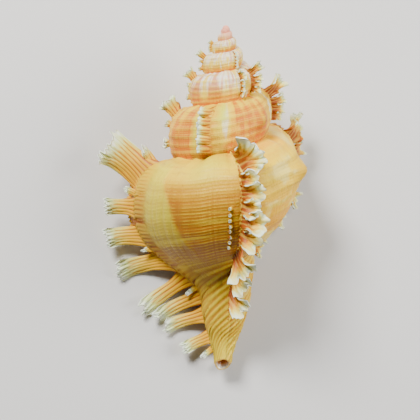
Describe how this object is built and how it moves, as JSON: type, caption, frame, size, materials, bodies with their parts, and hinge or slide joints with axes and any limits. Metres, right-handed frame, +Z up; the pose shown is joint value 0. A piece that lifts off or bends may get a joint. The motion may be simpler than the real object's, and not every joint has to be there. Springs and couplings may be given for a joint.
{
  "type": "murex shell",
  "caption": "Leafy murex seashell with a tall spire, frilled ridges, an oval mouth and a tapering canal, lying with its mouth down.",
  "frame": {"origin": "middle of the shell's bounding box, on the surface that it lies on", "axes": "+Y along the shell towards the tip of the spire, +Z up, away from the surface it lies on, +X to the right seen from above"},
  "size_m": [0.0498, 0.079, 0.0372],
  "materials": {
    "shell": "satin"
  },
  "bodies": {
    "root": {"murex_shell": "shell"}
  },
  "joints": []
}
